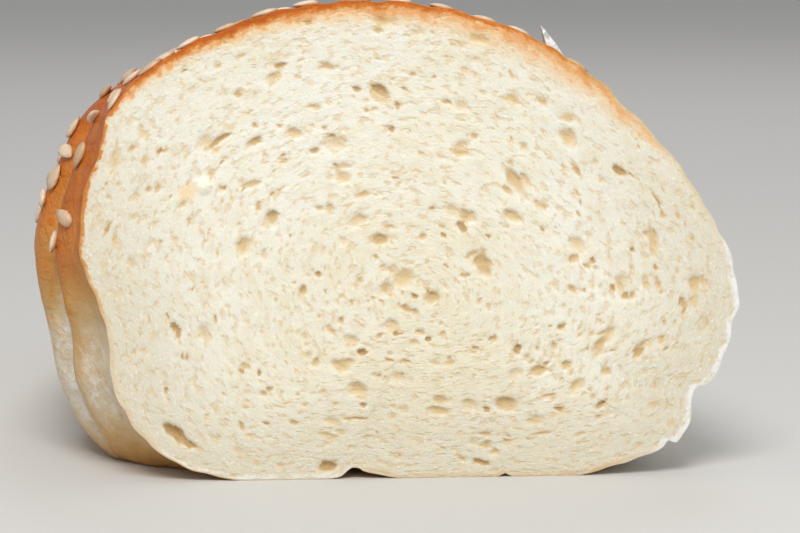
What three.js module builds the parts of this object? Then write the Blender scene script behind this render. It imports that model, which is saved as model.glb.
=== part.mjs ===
// Half of a sesame crescent roll, cut straight across its thickest place.
// Millimetres, +Z up. The cut face is flat and looks along -Y, and the tapering end points back and
// bends gently to -X behind it. The origin is at the middle of the underside of the whole part's box,
// so the roll stands on Z = 0 as it was baked.

import * as THREE from "three";

// Driving dimensions of the roll, in millimetres and radians.
const HALF_LENGTH = 90;
const BEND_RADIUS = 200;
const FIRST_HEADING = THREE.MathUtils.degToRad(8);
const HEADING_BLEND = 30;
const TIP_LIFT = 4;
const LIFT_START = 0.55;
const CORE = new THREE.Vector2(1.5, 20);

// The section keeps its size near the cut and closes round at the tip: a power of the share of the
// length, and a power of what is left. The tip is also a little flatter than the cut.
const WIDTH_TAPER = { start: 1.9, close: 0.62 };
const HEIGHT_TAPER = { start: 2.3, close: 0.55 };
const TIP_FLATNESS = 0.33;

// The left flank swells just behind the cut: how far, at which angle most, how narrowly about that
// angle, the share of it that goes all round, and the lengths over which it rises and falls.
const FLANK_SWELL = 5;
const SWELL_ANGLE = THREE.MathUtils.degToRad(200);
const SWELL_FOCUS = 1.6;
const SWELL_ALL_ROUND = 0.12;
const FLANK_RISE = 20;
const FLANK_FALL = [25, 75];

// The edge of the rolled dough: its pitch and depth, where it meets the cut, the shares of the pitch
// that its two slopes take, and how it fades out beside the cut and over the flat base.
const LAP_PITCH = 24;
const LAP_DEPTH = 2.4;
const LAP_EDGE = new THREE.Vector2(31, 9.9);
const LAP_BEHIND = 0.38;
const LAP_AHEAD = 0.14;
const LAP_FADE = 9;
const BASE_FADE = 5;

// Outline of the cut face as x and z, anticlockwise from the right end of the flat underside.
const CUT_OUTLINE = [
  [21.5, 0],
  [26.6, 2],
  [30.2, 5.6],
  [31.8, 9.8],
  [34.5, 13.4],
  [35.9, 17],
  [36.2, 20.5],
  [34.6, 26],
  [31, 32.2],
  [26.4, 38],
  [20, 43.9],
  [12.1, 48.6],
  [3, 51.6],
  [-5.5, 52.4],
  [-15.3, 51],
  [-24, 47.7],
  [-30.6, 42.8],
  [-34, 36],
  [-35.8, 27.5],
  [-34.7, 21],
  [-33, 15],
  [-32.2, 10.5],
  [-29.8, 5.4],
  [-25.5, 1.8],
  [-20, 0],
  [-7, 0],
  [7, 0],
];

// Facets of the roll: rings along it, which crowd towards the tip by a share, and columns round it.
const RINGS = 40;
const RING_CROWDING = 0.4;
const COLUMNS = 60;
const OUTLINE_POINTS = 720;

// A sesame seed: pear-shaped, half as thick as it is wide. Radius and place along its length.
const SEED_PROFILE = [
  [0, -1.6],
  [0.7, -1.15],
  [1, -0.25],
  [0.82, 0.7],
  [0.4, 1.4],
  [0, 1.65],
];
const SEED_SIDES = 8;
const SEED_FLATNESS = 0.46;
const RESTING_GAP = 0.3;

// Two rows of seeds just behind the top edge of the cut: how far back each lies, and its seeds' x.
const RIM_TWIST = 0.35;
const RIM_ROWS = [
  { back: 1.6, x: [-31.3, -27.6, -23.7, -19.7, -15.3, -11.1, -5.4, -0.9, 3.6, 8.2, 12, 18.2] },
  { back: 4.9, x: [-25.8, -21.5, -17.4, -13.2, -8.4, -2.9, 1.4, 5.9, 10.2] },
];

// The other seeds lie scattered over the top, from behind those rows nearly to the tip, clear of each
// other and of the laps' grooves. Two low-discrepancy steps spread them, and the golden angle turns them.
const SCATTER_SEEDS = 36;
const SCATTER_TRIES = 4000;
const SEED_SPACING = 7.4;
const SEED_FIRST = 7.5;
const SEED_LAST = 80;
const SEED_ANGLES = [THREE.MathUtils.degToRad(32), THREE.MathUtils.degToRad(165)];
const SEED_MOST_GROOVE = 0.25;
const SPREAD_ALONG = 0.7548777;
const SPREAD_ROUND = 0.5698403;
const GOLDEN_ANGLE = THREE.MathUtils.degToRad(137.507764);

// How far apart the crust is felt to find its slope, and how wide a seed's footprint is.
const FEEL_ALONG = 0.6;
const FEEL_ROUND = 0.02;
const FOOTPRINT = 1.8;

// The coarse grain of salt stands on the cut's top edge, right of its middle, and leans to the left.
const SALT_X = 15.2;
const SALT_BACK = 1.3;
const SALT_BASE = [
  [-0.8, -0.6],
  [0.8, -0.7],
  [0.7, 0.7],
  [-0.7, 0.6],
];
const SALT_WAIST = { x: -1.05, z: 0.95, share: 0.75 };
const SALT_TIP = [-2.86, 0.1, 2.4];

const crustMaterial = new THREE.MeshStandardMaterial({ color: 0xc47830, roughness: 0.45, metalness: 0 });
const seedMaterial = new THREE.MeshStandardMaterial({ color: 0xeedfc2, roughness: 0.5, metalness: 0 });
const saltMaterial = new THREE.MeshStandardMaterial({ color: 0xd8dad6, roughness: 0.2, metalness: 0 });

// The smooth outline, as its distance from the core at each angle.
const outlineCurve = new THREE.CatmullRomCurve3(
  CUT_OUTLINE.map(([x, z]) => new THREE.Vector3(x, 0, z)),
  true,
  "centripetal",
);
const outlinePolar = outlineCurve
  .getSpacedPoints(OUTLINE_POINTS)
  .slice(0, -1)
  .map((p) => {
    const x = p.x - CORE.x;
    const z = Math.max(p.z, 0) - CORE.y;
    return { angle: Math.atan2(z, x), radius: Math.hypot(x, z) };
  })
  .sort((a, b) => a.angle - b.angle);

function wrapAngle(angle) {
  return THREE.MathUtils.euclideanModulo(angle + Math.PI, 2 * Math.PI) - Math.PI;
}

function outlineRadius(angle) {
  const wrapped = wrapAngle(angle);
  const last = outlinePolar.length;
  const next = outlinePolar.findIndex((p) => p.angle > wrapped);
  const upper = outlinePolar[next < 0 ? 0 : next];
  const lower = outlinePolar[((next < 0 ? 0 : next) + last - 1) % last];
  const span = wrapAngle(upper.angle - lower.angle);
  const share = span > 0 ? wrapAngle(wrapped - lower.angle) / span : 0;
  return THREE.MathUtils.lerp(lower.radius, upper.radius, share);
}

// How the cross-section shrinks from the cut to the tip.
function widthShare(u) {
  return Math.pow(Math.max(1 - Math.pow(u, WIDTH_TAPER.start), 0), WIDTH_TAPER.close);
}

function heightShare(u) {
  const round = Math.pow(Math.max(1 - Math.pow(u, HEIGHT_TAPER.start), 0), HEIGHT_TAPER.close);
  return (1 - TIP_FLATNESS * u) * round;
}

// The rolled dough's edge winds round the roll as a helix, and the crust is drawn in along it: deepest
// at the edge itself, rising slowly on one side of it and quickly on the other.
const lapStart = Math.atan2(LAP_EDGE.y - CORE.y, LAP_EDGE.x - CORE.x);

function lapGroove(along, angle) {
  const turns = along / LAP_PITCH - (angle - lapStart) / (2 * Math.PI);
  const fromEdge = THREE.MathUtils.euclideanModulo(turns, 1);
  const behind = Math.max(1 - fromEdge / LAP_BEHIND, 0);
  const ahead = Math.max(1 - (1 - fromEdge) / LAP_AHEAD, 0);
  return behind * behind + ahead * ahead;
}

// How far the flank stands out, at a distance along the roll and an angle about its core.
function flankSwell(along, angle) {
  const rise = THREE.MathUtils.smoothstep(along, 0, FLANK_RISE);
  const fall = THREE.MathUtils.smoothstep(along, ...FLANK_FALL);
  const facing = Math.pow(Math.max(Math.cos(angle - SWELL_ANGLE), 0), SWELL_FOCUS);
  return FLANK_SWELL * rise * (1 - fall) * THREE.MathUtils.lerp(facing, 1, SWELL_ALL_ROUND);
}

// Centre of the section and its turn, at a distance along the roll.
function sectionPlace(along) {
  const bend = along / BEND_RADIUS;
  const lean = Math.sin(FIRST_HEADING) * along;
  const blend = THREE.MathUtils.smoothstep(along, 0, HEADING_BLEND);
  return {
    x: -BEND_RADIUS * (1 - Math.cos(bend)) - lean,
    y: BEND_RADIUS * Math.sin(bend),
    turn: bend + FIRST_HEADING * blend,
  };
}

// A point of the crust, at a distance along the roll and an angle about its core.
function crustPoint(along, angle) {
  const u = along / HALF_LENGTH;
  const width = widthShare(u);
  const radius = outlineRadius(angle) + flankSwell(along, angle);
  const overBase = THREE.MathUtils.smoothstep(CORE.y + radius * Math.sin(angle), 0, BASE_FADE);
  const fromCut = THREE.MathUtils.smoothstep(along, 0, LAP_FADE);
  const depth = LAP_DEPTH * Math.sqrt(width) * lapGroove(along, angle) * overBase * fromCut;
  const x = (CORE.x + (radius - depth) * Math.cos(angle)) * width;
  const z = (CORE.y + (radius - depth) * Math.sin(angle)) * heightShare(u);
  const lift = TIP_LIFT * Math.pow(Math.max(u - LIFT_START, 0) / (1 - LIFT_START), 2);
  const place = sectionPlace(along);
  return new THREE.Vector3(
    place.x + x * Math.cos(place.turn),
    place.y + x * Math.sin(place.turn),
    Math.max(z, 0) + lift,
  );
}

function crustNormal(along, angle) {
  const before = crustPoint(Math.max(along - FEEL_ALONG, 0), angle);
  const alongTangent = crustPoint(along + FEEL_ALONG, angle).sub(before);
  const below = crustPoint(along, angle - FEEL_ROUND);
  const roundTangent = crustPoint(along, angle + FEEL_ROUND).sub(below);
  return alongTangent.cross(roundTangent).normalize();
}

// Rings crowd towards the tip, where the roll narrows fastest.
function ringPlace(ring) {
  const t = ring / RINGS;
  return HALF_LENGTH * THREE.MathUtils.lerp(t, Math.sin((t * Math.PI) / 2), RING_CROWDING);
}

function rollGeometry() {
  const positions = [];
  const triangles = [];
  for (let ring = 0; ring < RINGS; ring++) {
    for (let column = 0; column < COLUMNS; column++) {
      positions.push(...crustPoint(ringPlace(ring), (column / COLUMNS) * 2 * Math.PI));
    }
  }
  const tip = positions.length / 3;
  positions.push(...crustPoint(HALF_LENGTH, 0));
  const cutMiddle = tip + 1;
  positions.push(CORE.x, 0, CORE.y);
  for (let column = 0; column < COLUMNS; column++) {
    const next = (column + 1) % COLUMNS;
    for (let ring = 0; ring < RINGS - 1; ring++) {
      const here = ring * COLUMNS;
      const there = here + COLUMNS;
      triangles.push(here + column, there + column, here + next);
      triangles.push(here + next, there + column, there + next);
    }
    const lastRing = (RINGS - 1) * COLUMNS;
    triangles.push(lastRing + column, tip, lastRing + next);
    triangles.push(cutMiddle, column, next);
  }
  const geometry = new THREE.BufferGeometry();
  geometry.setAttribute("position", new THREE.Float32BufferAttribute(positions, 3));
  geometry.setIndex(triangles);
  geometry.computeVertexNormals();
  return geometry;
}

// How far the crust around a place rises above the flat plane that touches it there.
function riseAround(along, angle, reach) {
  const origin = crustPoint(along, angle);
  const normal = crustNormal(along, angle);
  const turnReach = reach / Math.max(outlineRadius(angle) * widthShare(along / HALF_LENGTH), 4);
  let rise = 0;
  for (let i = -2; i <= 2; i++) {
    for (let j = -2; j <= 2; j++) {
      const near = crustPoint(Math.max(along + (i * reach) / 2, 0), angle + (j * turnReach) / 2);
      rise = Math.max(rise, near.sub(origin).dot(normal));
    }
  }
  return rise;
}

// Places a small piece on the crust: its own Z is the outward normal, its own Y lies on the crust.
function restOnCrust(mesh, along, angle, twist, underside) {
  const normal = crustNormal(along, angle);
  const ahead = crustPoint(along + FEEL_ALONG, angle).sub(crustPoint(along, angle)).normalize();
  const side = ahead.clone().cross(normal).normalize();
  const forward = normal.clone().cross(side);
  const basis = new THREE.Matrix4().makeBasis(side, forward, normal);
  basis.multiply(new THREE.Matrix4().makeRotationZ(twist));
  mesh.quaternion.setFromRotationMatrix(basis);
  const height = underside + RESTING_GAP + riseAround(along, angle, FOOTPRINT);
  mesh.position.copy(crustPoint(along, angle)).addScaledVector(normal, height);
  return mesh;
}

function seedGeometry() {
  const profile = SEED_PROFILE.map(([radius, length]) => new THREE.Vector2(radius, length));
  return new THREE.LatheGeometry(profile, SEED_SIDES).scale(1, 1, SEED_FLATNESS);
}

function makeSeed(name, along, angle, twist) {
  const seed = new THREE.Mesh(seedGeometry(), seedMaterial);
  seed.name = name;
  return restOnCrust(seed, along, angle, twist, SEED_FLATNESS);
}

// The angle about the core at which the top of the cut's outline has a given x.
function topAngle(x) {
  const above = outlinePolar.filter((p) => p.angle > 0);
  const off = (p) => Math.abs(CORE.x + p.radius * Math.cos(p.angle) - x);
  return above.reduce((best, p) => (off(p) < off(best) ? p : best)).angle;
}

// The rim's seeds come first, then the scattered ones, spread evenly by a golden-ratio sequence.
function seedPlaces() {
  const places = RIM_ROWS.flatMap((row) =>
    row.x.map((x, i) => ({
      along: row.back,
      angle: topAngle(x),
      twist: Math.PI / 2 + RIM_TWIST * Math.sin(GOLDEN_ANGLE * i + row.back),
    })),
  );
  const wanted = places.length + SCATTER_SEEDS;
  const points = places.map((p) => crustPoint(p.along, p.angle));
  for (let i = 1; places.length < wanted && i < SCATTER_TRIES; i++) {
    const alongShare = THREE.MathUtils.euclideanModulo(i * SPREAD_ALONG, 1);
    const angleShare = THREE.MathUtils.euclideanModulo(i * SPREAD_ROUND, 1);
    const along = THREE.MathUtils.lerp(SEED_FIRST, SEED_LAST, alongShare);
    const angle = THREE.MathUtils.lerp(SEED_ANGLES[0], SEED_ANGLES[1], angleShare);
    const point = crustPoint(along, angle);
    const crowded = points.some((other) => other.distanceTo(point) < SEED_SPACING);
    if (!crowded && lapGroove(along, angle) < SEED_MOST_GROOVE) {
      points.push(point);
      places.push({ along, angle, twist: i * GOLDEN_ANGLE });
    }
  }
  return places;
}

// A four-sided grain that leans over and narrows to a sharp tip.
function saltGeometry() {
  const low = SALT_BASE.map(([x, y]) => [x, y, 0]);
  const waist = SALT_BASE.map(([x, y]) => {
    return [SALT_WAIST.x + SALT_WAIST.share * x, SALT_WAIST.share * y, SALT_WAIST.z];
  });
  const positions = [...low, ...waist, SALT_TIP].flat();
  const triangles = [0, 2, 1, 0, 3, 2];
  for (let i = 0; i < 4; i++) {
    const j = (i + 1) % 4;
    triangles.push(i, j, 4 + j, i, 4 + j, 4 + i);
    triangles.push(4 + i, 4 + j, 8);
  }
  const geometry = new THREE.BufferGeometry();
  geometry.setAttribute("position", new THREE.Float32BufferAttribute(positions, 3));
  geometry.setIndex(triangles);
  geometry.computeVertexNormals();
  return geometry;
}

function makeSalt() {
  const salt = new THREE.Mesh(saltGeometry(), saltMaterial);
  salt.name = "salt_grain";
  return restOnCrust(salt, SALT_BACK, topAngle(SALT_X), 0, 0);
}

const part = new THREE.Group();
const roll = new THREE.Mesh(rollGeometry(), crustMaterial);
roll.name = "crescent_roll_half";
part.add(roll);
seedPlaces().forEach((place, i) => {
  const name = `sesame_seed_${String(i + 1).padStart(2, "0")}`;
  part.add(makeSeed(name, place.along, place.angle, place.twist));
});
part.add(makeSalt());

// The middle of the underside of the whole box becomes the origin.
const box = new THREE.Box3().setFromObject(part, true);
part.position.set(-(box.min.x + box.max.x) / 2, -(box.min.y + box.max.y) / 2, 0);
part.updateMatrixWorld(true);

export default part;
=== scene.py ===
"""Half of a sesame crescent roll, cut straight across, standing on its baked underside.

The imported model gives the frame, in metres: the cut face looks along -Y, and the tapering end
points back and bends gently to -X behind it. Lengths inside the shape's formulas are in
millimetres, measured from the foot of the cut: x to the right, y into the roll and z up. A length
along the roll is called along, and an angle about the core of the coil is called angle, with 0 to
the right and a quarter turn straight up.
"""

import math
import random

import bpy
import numpy as np
from mathutils import Matrix, Vector, noise
from mathutils.bvhtree import BVHTree


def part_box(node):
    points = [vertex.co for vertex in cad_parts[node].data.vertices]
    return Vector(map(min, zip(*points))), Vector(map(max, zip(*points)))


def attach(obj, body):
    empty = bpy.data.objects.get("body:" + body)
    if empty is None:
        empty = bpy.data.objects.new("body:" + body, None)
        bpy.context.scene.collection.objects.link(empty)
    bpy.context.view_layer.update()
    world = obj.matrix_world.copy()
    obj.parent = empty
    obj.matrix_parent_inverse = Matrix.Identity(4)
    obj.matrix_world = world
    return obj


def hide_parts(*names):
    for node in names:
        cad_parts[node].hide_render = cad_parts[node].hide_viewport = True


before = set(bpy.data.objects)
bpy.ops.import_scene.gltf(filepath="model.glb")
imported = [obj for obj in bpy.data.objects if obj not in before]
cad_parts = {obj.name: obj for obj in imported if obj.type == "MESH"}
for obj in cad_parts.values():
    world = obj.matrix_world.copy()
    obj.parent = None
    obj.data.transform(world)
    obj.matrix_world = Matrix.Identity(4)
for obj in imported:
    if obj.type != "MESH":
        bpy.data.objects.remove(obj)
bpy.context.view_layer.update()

bl_info = {
    "name": "Half Crescent Roll",
    "version": (1, 0, 0),
    "blender": (4, 5, 0),
    "location": "View3D > Sidebar > Crescent Roll",
    "description": "Models a cut sesame crescent roll with its crumb, crust, seeds and salt",
    "category": "Add Mesh",
}

MM = 0.001
ROLL_NODE = "crescent_roll_half"
SALT_NODE = "salt_grain"
SEED_NODES = sorted(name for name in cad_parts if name.startswith("sesame_seed"))
MERGE_DISTANCE = 0.01 * MM

# The core of the coil on the cut face, the place on the cut where the dough's last lap ends, and
# the outline that the whole roll follows.
CORE = np.array([1.5, 20.0])
LAP_ON_CUT = (31.0, 9.9)
SWELL_OUTLINE = [
    (21.5, 0), (26.6, 2), (30.2, 5.6), (31.8, 9.8), (34.5, 13.4), (35.9, 17), (36.2, 20.5),
    (34.6, 26), (31, 32.2), (26.4, 38), (20, 43.9), (12.1, 48.6), (3, 51.6), (-5.5, 52.4),
    (-15.3, 51), (-24, 47.7), (-30.6, 42.8), (-34, 36), (-35.8, 27.5), (-34.7, 21), (-33, 15),
    (-32.2, 10.5), (-29.8, 5.4), (-25.5, 1.8), (-20, 0), (-7, 0), (7, 0),
]

# The same outline at the knife's cut, with the tucked edge at the lower right and the crease below.
CUT_OUTLINE = [
    (9.6, 0), (10.4, 0.4), (11.2, 0), (19, 0.1), (22.7, 1.2), (25.8, 2.2), (27.9, 3.1),
    (28.3, 3.9), (29.3, 3.6), (30.1, 4.7), (30.8, 6.3), (31.2, 8.2), (31.4, 9.5),
    (32.8, 10.1), (33.7, 11.2), (34.5, 13.1), (35.1, 15.2), (35.6, 17.1), (36.2, 19.2),
    (35.6, 22.1), (34.8, 25.6),
    (33.7, 27.3), (32.5, 29.4), (30.6, 32.7), (28.8, 35.1), (26.6, 37.6), (23.7, 40.5),
    (20.1, 43.8), (16.2, 46.6), (12.1, 48.7), (8.2, 50.3), (2.1, 51.8), (-5.5, 52.3),
    (-11, 51.8), (-15.3, 51), (-19.1, 49.7), (-24, 47.6), (-27.3, 45.5), (-30.4, 43.1),
    (-32.5, 40.3), (-33.3, 37.9), (-34.1, 35), (-35.2, 32.4), (-35.8, 28), (-35.6, 23.7),
    (-34.1, 20.2), (-33.2, 17.4), (-32.7, 13.6), (-32.3, 10.4), (-31.2, 7.6), (-29.1, 4.7),
    (-27, 2.8), (-23.6, 1.3), (-19.5, 0.1), (-9.2, 0), (-7.7, 0.3), (-6.4, 1.3), (-5.1, 0.8),
    (-3.3, 0.4), (-1.2, 0), (2, 0),
]

# Open pores that show on the cut: x, z, length, width, tilt in degrees, and how brown it is
# inside, as painted shade.
NOTED_PORES = [
    (11.6, 32.3, 4.9, 1.5, -56, 0.5), (-21.0, 37.2, 4.6, 0.8, 33, 0.8),
    (6.1, 28.9, 2.7, 1.6, -20, 0.4), (11.2, 28.8, 2.7, 1.4, -20, 0.45),
    (22.8, 33.7, 2.7, 0.9, -30, 0.9), (18.2, 33.6, 1.9, 0.8, -55, 0.6),
    (5.6, 35.8, 3.1, 0.9, -10, 0.4), (6.8, 24.7, 1.7, 1.1, 5, 0.35),
    (17.8, 24.2, 1.4, 1.1, 0, 0.5), (11.1, 41.6, 2.2, 0.9, -30, 0.45),
    (14.3, 41.2, 2.1, 0.7, -40, 0.5), (25.8, 26.9, 1.0, 0.7, -50, 0.6),
    (27.2, 29.9, 3.6, 0.35, -58, 0.8), (3.3, 27.8, 1.2, 0.8, 0, 0.4),
    (-18.3, 46.4, 1.5, 0.8, 15, 0.5), (-14.1, 45.4, 1.6, 0.7, 5, 0.9),
    (-9.2, 45.2, 2.3, 0.7, 3, 0.6), (-20.1, 47.9, 0.9, 0.5, 20, 0.8),
    (-3.4, 26.5, 2.2, 1.3, 8, 0.6), (-7.5, 34.4, 2.8, 0.7, 8, 0.4),
    (-13.8, 35.2, 1.2, 0.7, 15, 0.5), (-5.2, 31.4, 2.5, 0.9, 10, 0.4),
    (-9.9, 29.9, 1.1, 0.8, 20, 0.45), (-16.5, 30.1, 1.0, 0.7, 40, 0.5),
    (-30.1, 36.4, 1.7, 0.7, 70, 0.6), (-27.1, 36.3, 1.2, 0.5, 50, 0.9),
    (-27.5, 32.1, 1.5, 0.8, 60, 0.5), (-24.3, 44.9, 1.2, 0.6, 50, 0.9),
    (-25.6, 5.2, 4.0, 1.7, -38, 0.95), (-24.0, 4.0, 2.2, 0.8, -30, 0.9),
    (-5.3, 14.1, 1.4, 0.9, -5, 1.0), (-11.8, 20.9, 1.1, 1.0, 30, 0.6),
    (-2.8, 21.0, 1.1, 0.9, 30, 0.6), (-5.9, 6.7, 3.3, 0.5, 0, 0.7),
    (-16.1, 9.6, 1.1, 0.7, -20, 0.6), (-17.2, 8.2, 0.7, 0.5, 0, 0.6),
    (-12.9, 6.3, 1.4, 0.6, -20, 0.6), (2.4, 20.0, 1.9, 1.4, 35, 0.55),
    (0.4, 18.3, 1.2, 1.0, 60, 0.35), (17.7, 20.8, 1.9, 0.8, -45, 0.5),
    (29.9, 18.9, 2.4, 0.9, -70, 0.6), (20.7, 14.3, 3.4, 1.4, 60, 0.5),
    (21.4, 11.6, 1.7, 0.9, 35, 0.5), (15.1, 8.9, 2.2, 0.7, 25, 0.5),
    (3.0, 7.5, 2.9, 1.0, -8, 0.45), (14.5, 4.9, 3.0, 0.5, 5, 0.5),
    (29.2, 14.6, 1.3, 0.4, 60, 0.5), (-0.6, 12.9, 1.5, 0.5, -12, 0.7),
    (-2.3, 13.1, 1.3, 0.6, -10, 0.6), (0.8, 16.3, 0.8, 0.5, -10, 0.6),
    (-1.1, 16.0, 0.9, 0.4, 0, 0.7), (9.2, 15.6, 1.0, 0.4, 60, 0.5),
    (5.9, 22.4, 1.1, 0.7, 0, 0.5), (-24.7, 30.4, 1.5, 1.0, 30, 0.4),
    (-17.3, 32.6, 2.7, 0.8, 10, 0.5), (-18.7, 28.3, 1.0, 0.5, 45, 0.5),
    (-14.3, 31.6, 2.6, 0.5, 52, 0.35), (-12.2, 50.0, 0.9, 0.5, 8, 0.6),
]

# How well baked the crust is round the roll: angle in degrees and browning from 0 to 1.
BAKE_ROUND = [
    (-180, 0.4), (-174, 0.2), (-161, 0.14), (-153, 0.32), (-145, 0.48), (-125, 0.46),
    (-60, 0.38), (-44, 0.3), (-34, 0.04), (-20, 0.0), (4, 0.02), (14, 0.1), (24, 0.2),
    (34, 0.3), (44, 0.44), (52, 0.66), (60, 0.84), (72, 0.92), (120, 1.0), (148, 0.95), (166, 0.82),
    (175, 0.66), (180, 0.4),
]

# How deep the crumb took colour below the crust: angle in degrees and millimetres.
STAIN_ROUND = [
    (-180, 0.3), (-150, 0.4), (-120, 0.5), (-60, 0.5), (-40, 0.2), (24, 0.2), (34, 0.9),
    (46, 2.4), (58, 3.3), (75, 3.3), (92, 2.7), (110, 2.1), (130, 1.5), (146, 0.9), (160, 0.4),
    (180, 0.3),
]

# How thick the crust shows on the cut: angle in degrees and millimetres.
BAND_ROUND = [
    (-180, 0.4), (-155, 0.4), (-145, 0.55), (-113, 0.55), (-100, 0.35), (-60, 0.35),
    (-45, 0.45), (-32, 0.65), (5, 0.6), (20, 0.4), (34, 0.25), (60, 0.35), (75, 0.45),
    (90, 0.55), (105, 0.7), (127, 0.95), (137, 0.6), (146, 0.35), (160, 0.3), (180, 0.4),
]

# The share of the browning that the crust keeps at the cut: flour lies below on the left.
CUT_BAKE_ROUND = [
    (-180, 1.0), (-160, 1.0), (-149, 0.12), (-113, 0.12), (-103, 0.5), (-60, 0.65), (-44, 1.0),
    (180, 1.0),
]

# A peach stain and a pale flake that lie on the left of the cut: x, z and radius.
EGG_SPOT = (-24.2, 31.9, 1.1)
FLAKE = (-22.4, 32.5, 0.85)


# ---- Shape of the roll, in millimetres ----


def smoothstep(low, high, value):
    """0 below low, 1 above high, and a smooth rise between them; high may be the smaller one."""
    share = np.clip((value - low) / (high - low), 0.0, 1.0)
    return share * share * (3.0 - 2.0 * share)


def round_the_roll(table, angle):
    """The value that a table of degrees and values gives at each angle."""
    places, values = zip(*table)
    return np.interp(np.degrees(angle), places, values)


def smooth_closed(points, steps=24):
    """A closed centripetal Catmull-Rom curve through the points, as an array of x and z."""
    points = np.asarray(points, dtype=float)
    parts = []
    for i in range(len(points)):
        p = [points[(i + k) % len(points)] for k in (-1, 0, 1, 2)]
        t = np.cumsum([0.0] + [math.dist(p[k], p[k + 1]) ** 0.5 for k in range(3)])
        at = np.linspace(t[1], t[2], steps, endpoint=False)[:, None]

        def blend(a, b, low, high):
            return (a * (high - at) + b * (at - low)) / (high - low)

        first = blend(p[0], p[1], t[0], t[1])
        middle = blend(p[1], p[2], t[1], t[2])
        last = blend(p[2], p[3], t[2], t[3])
        left = blend(first, middle, t[0], t[2])
        right = blend(middle, last, t[1], t[3])
        parts.append(blend(left, right, t[1], t[2]))
    curve = np.concatenate(parts)
    curve[:, 1] = np.maximum(curve[:, 1], 0.0)
    return curve


def ripple(places, seed, scale):
    """Smooth noise between -1 and 1 at each place, from a row of x and z."""
    return np.array([noise.noise(Vector((x * scale, seed, z * scale))) for x, z in places])


class Outline:
    """A closed outline about the core, read as a distance at each angle."""

    # How fine its roughness is, the height in millimetres below which it is smooth, and the
    # number of angles at which its length is measured.
    ROUGH_SCALE = 0.45
    SMOOTH_FOOT = 1.0
    SAMPLES = 7200

    def __init__(self, points, rough=0.0):
        self.curve = smooth_closed(points)
        offset = self.curve - CORE
        angle = np.arctan2(offset[:, 1], offset[:, 0])
        order = np.argsort(angle)
        self.angles = angle[order]
        self.radii = np.hypot(offset[:, 0], offset[:, 1])[order]
        over_foot = self.curve[order, 1] > self.SMOOTH_FOOT
        self.radii += rough * ripple(self.curve[order], 2.7, self.ROUGH_SCALE) * over_foot

    def radius(self, angle):
        return np.interp(angle, self.angles, self.radii, period=2 * math.pi)

    def even_angles(self, count):
        """Angles that divide the outline into stretches of equal length."""
        angle = np.linspace(-math.pi, math.pi, self.SAMPLES)
        radius = self.radius(angle)
        path = np.stack([radius * np.cos(angle), radius * np.sin(angle)], axis=1)
        length = np.concatenate([[0.0], np.cumsum(np.hypot(*np.diff(path, axis=0).T))])
        return np.interp(np.arange(count) * length[-1] / count, length, angle)


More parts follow.
